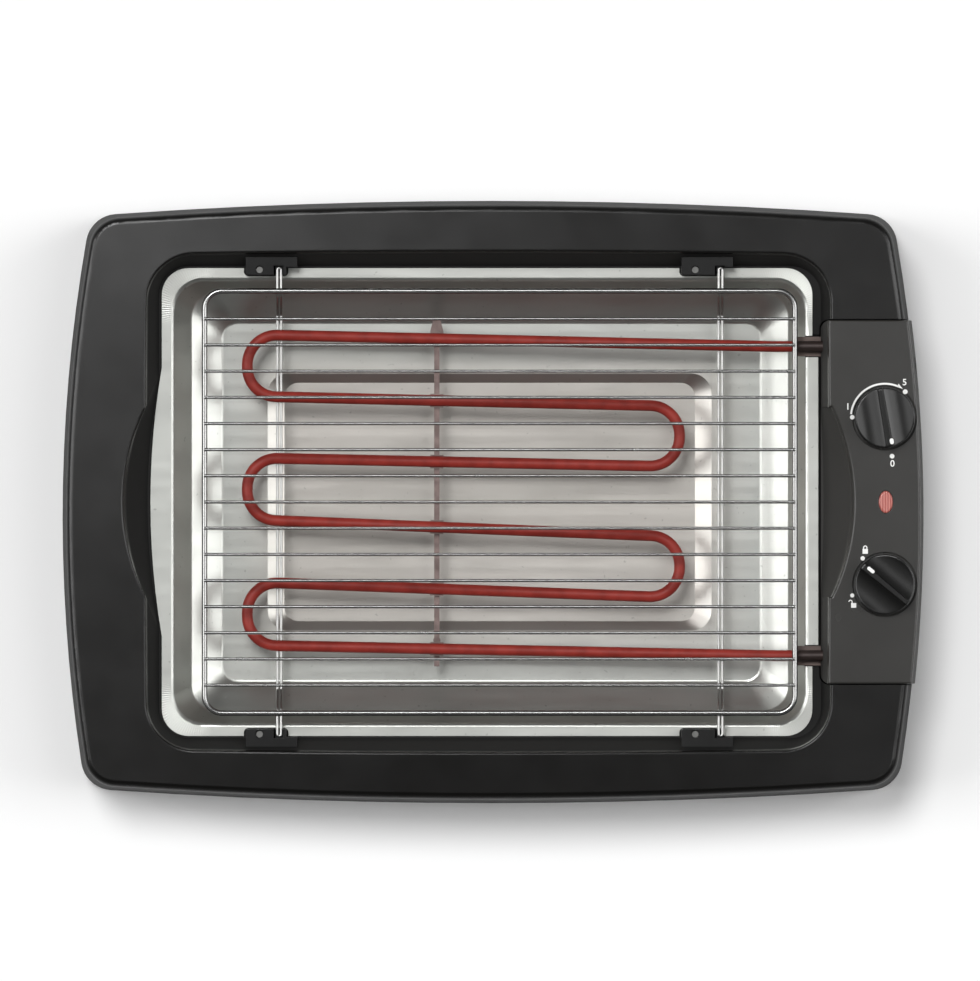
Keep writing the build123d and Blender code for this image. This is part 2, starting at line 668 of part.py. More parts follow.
def indicator_lamp():
    bulb = post(LENS_X, 0, 56.0, 65.6, 2.8)
    return fillet(bulb.faces().sort_by(Axis.Z)[-1].edges(), 2.0)


# Knobs, spindles and what is under the panel

def blade_face(widen, z):
    """Plan of the grip blade, wider towards the pointer end."""
    tail, tip = BLADE_TAIL_HALF + widen, BLADE_TIP_HALF + widen
    reach = KNOB_R + 2
    rim = Polyline((-reach, -tail), (reach, -tip), (reach, tip), (-reach, tail), (-reach, -tail))
    return Pos(0, 0, z) * make_face(rim)


def dish_rims(body):
    """The two long edges where the dishes meet the round side."""
    rims = []
    for edge in body.edges():
        points = [edge @ share for share in (0, 0.5, 1)]
        on_side = all(abs(math.hypot(point.X, point.Y) - KNOB_R) < 0.02 for point in points)
        if on_side and edge.length > KNOB_R and points[1].Z > KNOB_DISH_Z:
            rims.append(edge)
    return rims


def knob(y, rest_deg, pad):
    """Round knob with a dish on each side of a narrow tapered grip blade."""
    body = post(0, 0, KNOB_FOOT_Z, KNOB_TOP_Z, KNOB_R)
    body = fillet(body.faces().sort_by(Axis.Z)[-1].edges(), 1.5)
    blade = loft([blade_face(BLADE_DRAFT, KNOB_DISH_Z), blade_face(0, KNOB_TOP_Z + 1)], ruled=True)
    dish_z = KNOB_DISH_Z + KNOB_DISH_R
    dish = Pos(0, KNOB_DISH_Y, dish_z) * Rot(Y=90) * Cylinder(KNOB_DISH_R, 60)
    room = box(-30, 30, 0, 40, KNOB_DISH_Z - 1, KNOB_TOP_Z + 1) & dish
    reach, side, length, width = pad
    raised = extrude(Pos(reach, side, KNOB_DISH_Z) * SlotOverall(length, width), KNOB_TOP_Z)
    body = body - (room + mirror(room, about=Plane.XZ) - blade - raised)
    body = fillet(dish_rims(body), RIM_R)
    body = body - post(0, 0, KNOB_FOOT_Z, KNOB_FOOT_Z + 2.6, 14.0)
    body = body + post(0, 0, 73.0, KNOB_FOOT_Z + 4, 5.5)
    body = body - spindle_profile(60, SPINDLE_TOP_Z + 0.2, SHAFT_FIT)
    return Pos(KNOB_X, y, 0) * Rot(Z=rest_deg) * body


def spindle_profile(z0, z1, grow=0.0):
    """Round spindle with one flat, about the Z axis."""
    return post(0, 0, z0, z1, SHAFT_R + grow) - box(-10, 10, 1.8 + grow, 10, 70.0, 100)


def thermostat_shaft():
    return Pos(KNOB_X, THERMOSTAT_Y, 0) * Rot(Z=THERMOSTAT_REST_DEG) * spindle_profile(58.0, SPINDLE_TOP_Z)


def panel_bush(y, z0):
    """Threaded neck through the panel, with a shoulder under it."""
    neck = post(KNOB_X, y, z0, 72.6, 4.95)
    shoulder = post(KNOB_X, y, z0, PANEL_BOSS_Z, 8.5)
    return neck + shoulder


def thermostat_body():
    case = box(KNOB_X - 14, KNOB_X + 12, THERMOSTAT_Y - 15, THERMOSTAT_Y + 15, 42.0, 63.0)
    case = fillet(case.edges().filter_by(Axis.Z), 3.0)
    tabs = [box(KNOB_X - 3, KNOB_X + 3, THERMOSTAT_Y + y - 0.4, THERMOSTAT_Y + y + 0.4, 34.0, 42.0)
            for y in (-9.0, 9.0)]
    body = case + panel_bush(THERMOSTAT_Y, 63.0)
    for tab in tabs:
        body = body + tab
    return body - post(KNOB_X, THERMOSTAT_Y, 57.8, 80, SHAFT_R + SHAFT_FIT)


def panel_nut(y):
    hexagon = extrude(Pos(KNOB_X, y, POCKET_Z) * RegularPolygon(7.5, 6), 2.2)
    return hexagon - post(KNOB_X, y, 60, 80, 4.95)


def lock_bush():
    bush = panel_bush(LOCK_Y, 62.0)
    return bush - post(KNOB_X, LOCK_Y, 50, 80, SHAFT_R + SHAFT_FIT)


def lock_shaft():
    """Spindle with the locking tongue at its foot."""
    shaft = Rot(Z=LOCK_REST_DEG) * spindle_profile(13.2, SPINDLE_TOP_Z)
    groove = post(0, 0, CLIP_RING_Z, CLIP_RING_Z + 1.1, 5) - post(0, 0, CLIP_RING_Z, CLIP_RING_Z + 1.1, 2.3)
    tongue = box(-13.0, 0, -3.0, 3.0, 13.2, 16.2) + post(0, 0, 13.2, 16.2, 5.0)
    return Pos(KNOB_X, LOCK_Y, 0) * (shaft - groove + tongue)


def lock_clip():
    z0, z1 = CLIP_RING_Z + 0.05, CLIP_RING_Z + 1.05
    ring = post(KNOB_X, LOCK_Y, z0, z1, 5.6) - post(KNOB_X, LOCK_Y, z0, z1, 2.3)
    return ring - box(KNOB_X - 1.5, KNOB_X + 1.5, LOCK_Y, LOCK_Y + 8, z0, z1)


# Wiring and gland

def cord_gland():
    """Moulded bush, flush with the outer wall, where the mains lead would leave."""
    bush = rod_x(GLAND_START_X, 300, GLAND_Y, GLAND_Z, GLAND_R) & body_block(0, UNIT_PROUD)
    shoulder = rod_x(GLAND_START_X, GLAND_START_X + 4, GLAND_Y, GLAND_Z, GLAND_R + 2.5)
    mouth = rod_x(GLAND_MOUTH_X, 300, GLAND_Y, GLAND_Z, GLAND_BORE_R + 0.8)
    return bush + shoulder - mouth - rod_x(GLAND_START_X - 1, 300, GLAND_Y, GLAND_Z, GLAND_BORE_R)


def terminal_block():
    block = box(BLOCK_X0, BLOCK_X1, BLOCK_Y0, BLOCK_Y1, BLOCK_Z0, BLOCK_Z1)
    for y in (-17.0, -4.0, 9.0):
        block = block - post((BLOCK_X0 + BLOCK_X1) / 2, y, BLOCK_Z1 - 6, BLOCK_Z1 + 1, 3.0)
    return block


def lead(*points):
    path = FilletPolyline(*points, radius=7.0)
    section = Plane(origin=points[0], z_dir=path % 0) * Circle(LEAD_R)
    return sweep(section, path=path)


def leads():
    """Insulated wires between the block, the control, the lamp and the element."""
    tab_x = PIN_END_X + 8
    rear_y, front_y = end_places()
    block_z = (BLOCK_Z0 + BLOCK_Z1) / 2
    return [
        lead((tab_x, rear_y, ELEMENT_Z), (tab_x + 11, rear_y, ELEMENT_Z), (tab_x + 11, 78.0, 30.0),
             (KNOB_X, THERMOSTAT_Y + 9, 20.0), (KNOB_X, THERMOSTAT_Y + 9, 34.0)),
        lead((BLOCK_X0 + 9, BLOCK_Y1, block_z), (BLOCK_X0 + 9, 34.0, block_z),
             (KNOB_X, THERMOSTAT_Y - 9, 22.0), (KNOB_X, THERMOSTAT_Y - 9, 34.0)),
        lead((BLOCK_X0 + 4, BLOCK_Y0, block_z), (BLOCK_X0 + 4, BLOCK_Y0 - 12, block_z), (228.0, -74.0, block_z),
             (tab_x + 11, front_y, 40.0), (tab_x + 11, front_y, ELEMENT_Z), (tab_x, front_y, ELEMENT_Z)),
        lead((LENS_X, 0, 56.0), (LENS_X, 0, 45.0), (LENS_X - 6, -12.0, 42.0), (LENS_X - 6, -12.0, BLOCK_Z1)),
    ]


def build():
    os.makedirs("parts", exist_ok=True)
    write("base_housing", base_housing())
    write("base_floor", base_floor())
    foot_names = ("foot_front_left", "foot_front_right", "foot_rear_left", "foot_rear_right")
    for name, place in zip(foot_names, foot_places()):
        write(name, rubber_foot(*place))
    write("floor_screws", *[floor_screw(x, y) for x, y in boss_places()])
    for name, wire_x, start, side in clip_places():
        write(name, clip(wire_x, start, side))
    write("clip_screws", *[clip_screw(*place[1:]) for place in clip_places()])
    write("support_wire_left", support_wire(WIRE_LEFT_X))
    write("support_wire_right", support_wire(WIRE_RIGHT_X))
    write("drip_tray", drip_tray())
    write("rack_frame", rack_frame())
    write("rack_rods", *rack_rods())
    write("heating_element", heating_element())
    write("cold_end_sleeves", *[cold_end_sleeve(y) for y in end_places()])
    write("element_terminals", *[element_terminal(y) for y in end_places()])
    write("element_seals", *[element_seal(y) for y in end_places()])
    write("end_plates", *[end_plate(y) for y in end_places()])
    write("element_strap", element_strap())
    write("control_housing", control_housing())
    write("control_cover", control_cover())
    write("cover_screws", *[cover_screw(x, y) for x, y in cover_boss_places()])
    write("indicator_lens", indicator_lens())
    write("indicator_lamp", indicator_lamp())
    write("thermostat_knob", knob(THERMOSTAT_Y, THERMOSTAT_REST_DEG, THERMOSTAT_PAD))
    write("thermostat_shaft", thermostat_shaft())
    write("thermostat_body", thermostat_body())
    write("thermostat_nut", panel_nut(THERMOSTAT_Y))
    write("lock_knob", knob(LOCK_Y, LOCK_REST_DEG, LOCK_PAD))
    write("lock_shaft", lock_shaft())
    write("lock_bush", lock_bush())
    write("lock_nut", panel_nut(LOCK_Y))
    write("lock_clip", lock_clip())
    write("cord_gland", cord_gland())
    write("terminal_block", terminal_block())
    write("leads", *leads())


build()
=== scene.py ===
import bpy
import json
import math
from mathutils import Matrix, Vector


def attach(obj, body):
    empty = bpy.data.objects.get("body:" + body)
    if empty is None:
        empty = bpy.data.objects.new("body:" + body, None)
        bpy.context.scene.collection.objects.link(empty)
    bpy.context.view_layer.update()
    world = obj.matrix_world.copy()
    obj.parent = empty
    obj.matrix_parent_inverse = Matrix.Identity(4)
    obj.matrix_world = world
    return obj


# Looks, markings, light and camera of an electric tabletop barbecue grill.
# Sizes are the drawing's millimetres, which MM turns into metres. Those that a shader reads are in metres.

MM = 0.001

# Base, panel and knobs, as the solids were made
SHIFT_X = -0.91
CROWN_Z = 80.0
CROWN_R = 4200.0
KNOB_X = 248.6
KNOB_TOP_Z = 87.0
THERMOSTAT_Y = 53.3
LOCK_Y = -52.0

# Depths under the crown between which satin plastic turns matt
MATT_START = 2.0
MATT_END = 5.0

# Height of the ink over the panel and over a knob
PANEL_INK_LIFT = 0.08
KNOB_INK_LIFT = 0.05

# Printed dots: x, y, diameter
HEAT_DOTS = {
    "dot_low": (228.0, 53.6, 2.9),
    "dot_high": (261.5, 69.7, 3.1),
    "dot_off": (253.2, 29.0, 3.0),
}
LOCK_DOTS = {
    "dot_locked": (234.6, -35.6, 2.8),
    "dot_unlocked": (228.0, -59.0, 2.6),
}
DOT_CORNERS = 24

# Printed figures: text, x, y. A figure is as tall as a fixed share of the font's size.
FIGURES = {
    "figure_low": ("1", 225.2, 60.2),
    "figure_high": ("5", 261.1, 75.6),
    "figure_off": ("0", 253.4, 24.2),
}
FIGURE_HEIGHT = 4.0
FIGURE_SHARE_OF_FONT = 0.7
FIGURE_BOLDNESS = 0.02

# Arc with an arrowhead round the thermostat knob, in millimetres and degrees
ARC_RADIUS = 21.5
ARC_WIDTH = 1.2
ARC_START = 174
ARC_END = 66
ARC_STEPS = 27
ARROW_TIP = 58
ARROW_BASE = 68
ARROW_OUTWARD = 1.7
ARROW_INWARD = 0.6

# Padlock signs: lengths as shares of the sign's size, and the steps of the hoop
PADLOCK_BLOCK_HALF_WIDTH = 0.34
PADLOCK_BLOCK_BOTTOM = 0.5
PADLOCK_BLOCK_TOP = 0.12
PADLOCK_HOOP_RADIUS = 0.21
PADLOCK_HOOP_WIRE = 0.13
PADLOCK_LEG_HEIGHT = 0.16
PADLOCK_HOOP_STEPS = 10

# Steps round each end of a knob's pointer
POINTER_STEPS = 8

# Pressed tray, in metres: patch under the element, partly warm heat tint and partly painted shade and
# painted reflection of the element, and folds in the corners of the flange
TRAY_SHIFT = 0.0021
HEAT_AND_SHADE_INNER = (0.12, 0.07)
HEAT_AND_SHADE_OUTER = (0.17, 0.105)
WRINKLE_CENTRE = (0.1812, 0.1213)
WRINKLE_REACH = (0.017, 0.022)
WRINKLE_FADE = 0.012
WRINKLES_PER_TURN = 110.0
WRINKLE_DRIFT = 8.0
WRINKLE_HEIGHT = 0.4
SCUFF_STRENGTH = 0.5
GRAIN_HEIGHT = 0.12

# Lamps: azimuth, elevation and apparent size in degrees, and strength. Azimuth 0 is +X, 90 is the rear.
# The main light comes from the rear left, and the low lights fill the walls of the tray.
LAMPS = {
    "main_light": (120, 68, 20, 1.5),
    "left_high_light": (176, 68, 24, 0.24),
    "right_high_light": (6, 68, 24, 0.36),
    "left_low_light": (172, 42, 30, 1.0),
    "right_low_light": (8, 42, 30, 0.84),
}

# Surroundings: strength overhead and at the walls, and the heights between which it fades
WORLD_OVERHEAD = 0.03
WORLD_WALLS = 0.3
WORLD_WALL_TOP = 0.3
WORLD_CEILING = 0.75

# Floor, in metres
FLOOR_HALF = 12.0
FLOOR_COLOR = (0.93, 0.93, 0.93)

# Camera straight above, far away, in metres, with the sensor in millimetres
CAMERA_PLACE = (-0.00187, 0.0073, 20.0)
VIEW_WIDTH = 0.6223
SENSOR_WIDTH = 36.0
CAMERA_REACH = 100.0

# Brightest cloud of a plastic and darkest of a plated wire, as shares of its colour
PLASTIC_LIGHTEST = 1.15
WIRE_DARKEST = 0.88

# Surfaces of the slots that share a kind of material. Edge is a radius in metres.
PLASTICS = {
    "base_plastic": dict(color=(0.0035, 0.0033, 0.003), roughness=0.24, grain=0.08, specular=0.4,
                         edge=0.0009, wall_roughness=0.75),
    "control_plastic": dict(color=(0.024, 0.0232, 0.0213), roughness=0.26, grain=0.1, edge=0.0008,
                            wall_roughness=0.75),
    "knob_plastic": dict(color=(0.0045, 0.0045, 0.0042), roughness=0.26, grain_scale=1800.0,
                         grain=0.08, edge=0.0006),
    "clip_plastic": dict(color=(0.0025, 0.0025, 0.0025), roughness=0.3, grain_scale=1800.0,
                         grain=0.1, specular=0.3, edge=0.0005),
    "floor_plastic": dict(color=(0.01, 0.01, 0.0095), roughness=0.5),
    "foot_rubber": dict(color=(0.02, 0.02, 0.02), roughness=0.75, grain_scale=700.0, grain=0.4,
                        specular=0.3),
    "gland_rubber": dict(color=(0.015, 0.015, 0.015), roughness=0.7, grain_scale=900.0, grain=0.3,
                         specular=0.3),
    "seal_ceramic": dict(color=(0.78, 0.75, 0.68), roughness=0.6, grain_scale=900.0),
    "thermostat_phenolic": dict(color=(0.06, 0.035, 0.022), roughness=0.5, grain_scale=900.0,
                                grain=0.3),
}
METALS = {
    "screw_steel": dict(color=(0.15, 0.15, 0.145), roughness=0.4),
    "cold_end_brown": dict(color=(0.045, 0.03, 0.027), roughness=0.45, metallic=0.4),
    "terminal_steel": dict(color=(0.6, 0.58, 0.52), roughness=0.3),
    # The end plates' dark brown is partly burn discolouration and partly painted shade and painted
    # reflection of the red element
    "plate_brown": dict(color=(0.12, 0.09, 0.08), roughness=0.5, metallic=0.6),
    "strap_steel": dict(color=(0.2, 0.15, 0.14), roughness=0.42, metallic=0.9, mottle=0.6),
    "shaft_steel": dict(color=(0.6, 0.6, 0.6), roughness=0.28),
}
PLATED_WIRES = {
    "wire_chrome": dict(color=(0.43, 0.43, 0.42), roughness=0.3),
    "rack_chrome": dict(color=(0.34, 0.34, 0.335), roughness=0.25),
}

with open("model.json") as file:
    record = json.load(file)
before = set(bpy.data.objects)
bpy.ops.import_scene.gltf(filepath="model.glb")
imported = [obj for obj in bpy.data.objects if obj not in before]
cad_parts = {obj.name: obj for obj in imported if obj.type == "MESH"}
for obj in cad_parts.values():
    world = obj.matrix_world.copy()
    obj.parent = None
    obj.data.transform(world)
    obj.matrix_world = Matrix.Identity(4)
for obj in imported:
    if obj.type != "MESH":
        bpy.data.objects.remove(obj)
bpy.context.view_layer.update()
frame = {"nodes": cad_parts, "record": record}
scene = bpy.context.scene


# Shader helpers

def shader_inputs(material):
    return material.node_tree.nodes["Principled BSDF"].inputs


def new_material(name, color, metallic, roughness, specular=0.5):
    material = bpy.data.materials.new(name)
    material.use_nodes = True
    inputs = shader_inputs(material)
    inputs["Base Color"].default_value = (*color, 1.0)
    inputs["Metallic"].default_value = metallic
    inputs["Roughness"].default_value = roughness
    inputs["Specular IOR Level"].default_value = specular
    return material


def connect(material, label, output):
    """Links a node's output to an input of the material's shader."""
    material.node_tree.links.new(output, shader_inputs(material)[label])


def set_socket(owner, socket, value):
    """Gives a socket a value, or links it where the value is another node's output."""
    if isinstance(value, bpy.types.NodeSocket):
        owner.node_tree.links.new(value, socket)
    else:
        socket.default_value = value


def node(owner, kind, **inputs):
    """New node of a material or world, whose sockets are set by name."""
    made = owner.node_tree.nodes.new(kind)
    for label, value in inputs.items():
        set_socket(owner, made.inputs[label.replace("_", " ")], value)
    return made


def maths(material, operation, first, second=0.0):
    made = material.node_tree.nodes.new("ShaderNodeMath")
    made.operation = operation
    set_socket(material, made.inputs[0], first)
    set_socket(material, made.inputs[1], second)
    return made.outputs[0]


def add(material, first, second):
    return maths(material, "ADD", first, second)


def multiply(material, first, second):
    return maths(material, "MULTIPLY", first, second)


def sum_of_squares(material, first, second):
    return add(material, maths(material, "POWER", first, 2.0), maths(material, "POWER", second, 2.0))


def smooth_step(material, value, start, end):
    """0 at start, 1 at end and smooth between them."""
    made = node(material, "ShaderNodeMapRange", Value=value, From_Min=start, From_Max=end)
    made.interpolation_type = "SMOOTHSTEP"
    return made.outputs["Result"]


def spread(material, factor, low, high):
    """Stretches the middle half of a noise over low to high."""
    made = node(material, "ShaderNodeMapRange", Value=factor, From_Min=0.25, From_Max=0.75,
                To_Min=low, To_Max=high)
    return made.outputs["Result"]


def object_coordinates(material, stretch=(1.0, 1.0, 1.0)):
    source = material.node_tree.nodes.new("ShaderNodeTexCoord")
    mapping = node(material, "ShaderNodeMapping", Vector=source.outputs["Object"], Scale=stretch)
    return mapping.outputs["Vector"]


def object_axes(material):
    """Outputs X, Y and Z of the place on the object."""
    return node(material, "ShaderNodeSeparateXYZ", Vector=object_coordinates(material)).outputs


def noise(material, scale, detail=4.0, stretch=(1.0, 1.0, 1.0)):
    where = object_coordinates(material, stretch)
    made = node(material, "ShaderNodeTexNoise", Vector=where, Scale=scale, Detail=detail)
    return made.outputs["Fac"]


def blend_colors(material, factor, low, high, low_at=0.35, high_at=0.65):
    made = node(material, "ShaderNodeValToRGB", Fac=factor)
    first, last = made.color_ramp.elements
    first.position = low_at
    first.color = (*low, 1.0)
    last.position = high_at
    last.color = (*high, 1.0)
    return made.outputs["Color"]


def tinted(material, color, factor, tint):
    """Color multiplied by tint where factor is 1."""
    made = material.node_tree.nodes.new("ShaderNodeMix")
    made.data_type = "RGBA"
    made.blend_type = "MULTIPLY"
    material.node_tree.links.new(factor, made.inputs["Factor"])
    material.node_tree.links.new(color, made.inputs["A"])
    made.inputs["B"].default_value = (*tint, 1.0)
    return made.outputs["Result"]


def bump(material, height, strength, distance, edge=0.0):
    """Surface relief. Edge is the radius in metres to which sharp edges look rounded."""
    made = node(material, "ShaderNodeBump", Height=height, Strength=strength, Distance=distance)
    if edge:
        softened = node(material, "ShaderNodeBevel", Radius=edge)
        material.node_tree.links.new(softened.outputs["Normal"], made.inputs["Normal"])
    connect(material, "Normal", made.outputs["Normal"])


# Kinds of material that several slots share

def grained_plastic(name, color, roughness, grain_scale=1500.0, grain=0.2, specular=0.5, edge=0.0,
                    wall_roughness=None):
    """Moulding with a fine etched grain, slightly uneven gloss and, where given, matter walls."""
    material = new_material(name, color, 0.0, roughness, specular)
    lighter = tuple(min(1.0, value * PLASTIC_LIGHTEST) for value in color)
    cloud = noise(material, scale=45.0, detail=2.0)
    connect(material, "Base Color", blend_colors(material, cloud, color, lighter, low_at=0.1, high_at=0.9))
    uneven = noise(material, scale=35.0, detail=2.0)
    gloss = spread(material, uneven, low=roughness - 0.02, high=roughness + 0.02)
    if wall_roughness:
        extra = multiply(material, below_crown(material), wall_roughness - roughness)
        gloss = add(material, gloss, extra)
    connect(material, "Roughness", gloss)
    etching = noise(material, scale=grain_scale, detail=2.0)
    bump(material, etching, strength=grain, distance=0.0001, edge=edge)
    return material


def below_crown(material):
    """0 on the crowned top and 1 on the walls and slopes under it."""
    place = object_axes(material)
    squares = sum_of_squares(material, place["X"], place["Y"])
    sag = multiply(material, squares, 0.5 / (CROWN_R * MM))
    level = add(material, place["Z"], sag)
    return smooth_step(material, level, (CROWN_Z - MATT_START) * MM, (CROWN_Z - MATT_END) * MM)


def plated_wire(name, color, roughness):
    """Plated wire, bright and nearly smooth."""
    material = new_material(name, color, 1.0, roughness)
    darker = tuple(value * WIRE_DARKEST for value in color)
    cloud = noise(material, scale=30.0)
    connect(material, "Base Color", blend_colors(material, cloud, darker, color, low_at=0.2, high_at=0.8))
    uneven = noise(material, scale=60.0)
    connect(material, "Roughness", spread(material, uneven, low=roughness - 0.02, high=roughness + 0.03))
    bump(material, noise(material, scale=2500.0, detail=2.0), strength=0.01, distance=0.00002)
    return material


def plain_metal(name, color, roughness, metallic=1.0, mottle=0.8):
    """Dull metal with darker spots. Mottle is their brightness as a share of its colour."""
    material = new_material(name, color, metallic, roughness)
    darker = tuple(value * mottle for value in color)
    spots = noise(material, scale=160.0, detail=6.0)
    connect(material, "Base Color", blend_colors(material, spots, darker, color))
    uneven = noise(material, scale=300.0)
    connect(material, "Roughness", spread(material, uneven, low=roughness - 0.06, high=roughness + 0.08))
    bump(material, noise(material, scale=1200.0, detail=3.0), strength=0.12, distance=0.00008)
    return material


# Materials of one slot each

def tray_metal():
    """Pressed aluminised sheet: fine rolled grain, a few scuffs, and under the element a tint that is
    partly heat discolouration and partly painted shade and painted reddish reflection of the element.
    """
    material = new_material("tray_sheet", (0.5, 0.51, 0.5), metallic=0.95, roughness=0.4)
    dull, bright = (0.455, 0.463, 0.437), (0.505, 0.513, 0.487)
    # The tint under the element is partly heat discolouration and partly painted shade and painted
    # reflection of the red element
    scuff_tint, heat_and_shade_tint = (0.45, 0.45, 0.45), (1.0, 0.94, 0.925)
    place = object_axes(material)
    sheet = blend_colors(material, noise(material, scale=9.0, detail=3.0), dull, bright)
    scuffs = smooth_step(material, noise(material, scale=330.0, detail=3.0), start=0.69, end=0.74)
    worn = tinted(material, sheet, multiply(material, scuffs, SCUFF_STRENGTH), scuff_tint)
    # Under the element the sheet is tinted darker and warmer: partly heat discolouration, partly painted
    # shade and painted reflection of the element
    connect(material, "Base Color", tinted(material, worn, heat_and_shade_patch(material, place), heat_and_shade_tint))
    streaks = noise(material, scale=24.0, stretch=(1.0, 6.0, 1.0))
    connect(material, "Roughness", spread(material, streaks, low=0.29, high=0.34))
    rolled = noise(material, scale=700.0, detail=3.0, stretch=(1.0, 4.0, 1.0))
    grain = multiply(material, rolled, GRAIN_HEIGHT)
    relief = add(material, grain, draw_wrinkles(material, place))
    bump(material, relief, strength=0.5, distance=0.00012)
    return material


def heat_and_shade_patch(material, place):
    """Mask of the tint under the element, partly heat and partly painted shade and reflection: 1 on the
    middle of the floor, fading to 0 outside the element.
    """
    fades = []
    for axis, inner, outer in zip("XY", HEAT_AND_SHADE_INNER, HEAT_AND_SHADE_OUTER):
        from_middle = maths(material, "ABSOLUTE", place[axis])
        fades.append(smooth_step(material, from_middle, start=outer, end=inner))
    return multiply(material, *fades)


def draw_wrinkles(material, place):
    """Fine radial folds that pressing leaves in the corners of the flange."""
    centred = add(material, place["X"], TRAY_SHIFT)
    across = maths(material, "SUBTRACT", maths(material, "ABSOLUTE", centred), WRINKLE_CENTRE[0])
    along = maths(material, "SUBTRACT", maths(material, "ABSOLUTE", place["Y"]), WRINKLE_CENTRE[1])
    angle = maths(material, "ARCTAN2", along, across)
    drift = multiply(material, noise(material, scale=40.0, detail=2.0), WRINKLE_DRIFT)
    phase = add(material, multiply(material, angle, WRINKLES_PER_TURN), drift)
    folds = multiply(material, maths(material, "SINE", phase), WRINKLE_HEIGHT)
    reach = maths(material, "SQRT", sum_of_squares(material, across, along))
    outside = smooth_step(material, reach, *WRINKLE_REACH)
    corner = multiply(material, smooth_step(material, across, start=-WRINKLE_FADE, end=0.0),
                      smooth_step(material, along, start=-WRINKLE_FADE, end=0.0))
    return multiply(material, folds, multiply(material, outside, corner))


def element_red():
    """Oxide-red coat, baked unevenly."""
    material = new_material("element_red", (0.24, 0.022, 0.016), metallic=0.0, roughness=0.5, specular=0.3)
    dark, light = (0.2, 0.018, 0.012), (0.27, 0.027, 0.019)
    cloud = noise(material, scale=120.0, detail=6.0)
    connect(material, "Base Color", blend_colors(material, cloud, dark, light))
    connect(material, "Roughness", spread(material, noise(material, scale=400.0), low=0.42, high=0.6))
    bump(material, noise(material, scale=1800.0, detail=3.0), strength=0.2, distance=0.0001)
    return material


def wave(material, scale, distortion=0.0):
    where = object_coordinates(material)
    made = node(material, "ShaderNodeTexWave", Vector=where, Scale=scale, Distortion=distortion)
    return made.outputs["Fac"]


def braided_sleeve():
    """Woven glass-fibre sleeving."""
    material = new_material("lead_sleeve", (0.62, 0.58, 0.48), metallic=0.0, roughness=0.85)
    dark, light = (0.46, 0.43, 0.35), (0.68, 0.64, 0.54)
    weave = wave(material, scale=700.0, distortion=2.0)
    connect(material, "Base Color", blend_colors(material, weave, dark, light))
    bump(material, weave, strength=0.4, distance=0.0001)
    return material


def clear_red():
    """Clear pinkish red with moulded flutes, over the lamp."""
    material = new_material("lens_red", (0.6, 0.16, 0.13), metallic=0.0, roughness=0.16)
    shader_inputs(material)["Transmission Weight"].default_value = 0.2
    dark, light = (0.42, 0.09, 0.075), (0.66, 0.24, 0.2)
    flutes = wave(material, scale=190.0)
    connect(material, "Base Color", blend_colors(material, flutes, dark, light, low_at=0.1, high_at=0.9))
    bump(material, flutes, strength=0.35, distance=0.0003, edge=0.0006)
    return material


def lamp_glass():
    material = new_material("lamp_glass", (0.9, 0.62, 0.5), metallic=0.0, roughness=0.05)
    shader_inputs(material)["Transmission Weight"].default_value = 0.9
    connect(material, "Roughness", spread(material, noise(material, scale=200.0), low=0.02, high=0.12))
    return material


def ink_white():
    material = new_material("ink_white", (0.86, 0.86, 0.84), metallic=0.0, roughness=0.5)
    connect(material, "Roughness", spread(material, noise(material, scale=900.0), low=0.42, high=0.6))
    return material


def make_materials():
    """Material of every slot of the record."""
    materials = {
        "tray_steel": tray_metal(),
        "element_red": element_red(),
        "lens_red": clear_red(),
        "lamp_glass": lamp_glass(),
        "lead_insulation": braided_sleeve(),
    }
    for make, surfaces in ((grained_plastic, PLASTICS), (plain_metal, METALS), (plated_wire, PLATED_WIRES)):
        for slot, surface in surfaces.items():
            materials[slot] = make(slot, **surface)
    return materials


def dress_nodes(materials):
    for part in frame["record"]["subparts"]:
        mesh = frame["nodes"][part["node"]].data
        mesh.materials.clear()
        mesh.materials.append(materials[part["material_slot"]])


# Markings printed on the panel and on the knobs

def crown_height(x, y):
    return CROWN_Z - CROWN_R + math.sqrt(CROWN_R ** 2 - x ** 2 - y ** 2)


def panel_point(x, y):
    """Point just above the panel, from millimetres of the drawing."""
    return Vector(((x + SHIFT_X) * MM, y * MM, (crown_height(x, y) + PANEL_INK_LIFT) * MM))


def on_panel(points):
    return [panel_point(*point) for point in points]


def add_marking(name, mesh, body, ink):
    mesh.materials.clear()
    mesh.materials.append(ink)
    piece = bpy.data.objects.new(name, mesh)
    scene.collection.objects.link(piece)
    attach(piece, body)


def printed(name, outlines, body, ink):
    """Flat mesh of one or more closed outlines, given as points in metres."""
    vertices = []
    faces = []
    for points in outlines:
        first = len(vertices)
        vertices += [tuple(point) for point in points]
        faces.append(tuple(range(first, first + len(points))))
    mesh = bpy.data.meshes.new(name)
    mesh.from_pydata(vertices, [], faces)
    add_marking(name, mesh, body, ink)


def around(x, y, radius, degrees):
    angle = math.radians(degrees)
    return x + radius * math.cos(angle), y + radius * math.sin(angle)


def dot(name, x, y, diameter, ink):
    rim = [around(x, y, diameter / 2, 360 * step / DOT_CORNERS) for step in range(DOT_CORNERS)]
    printed(name, [on_panel(rim)], "control_unit", ink)


def band_on_panel(x, y, radius, width, start, end, steps):
    """Quads of a curved band."""
    inner, outer = radius - width / 2, radius + width / 2
    quads = []
    for index in range(steps):
        low = start + (end - start) * index / steps
        high = start + (end - start) * (index + 1) / steps
        corners = [(inner, low), (outer, low), (outer, high), (inner, high)]
        quads.append(on_panel(around(x, y, reach, angle) for reach, angle in corners))
    return quads


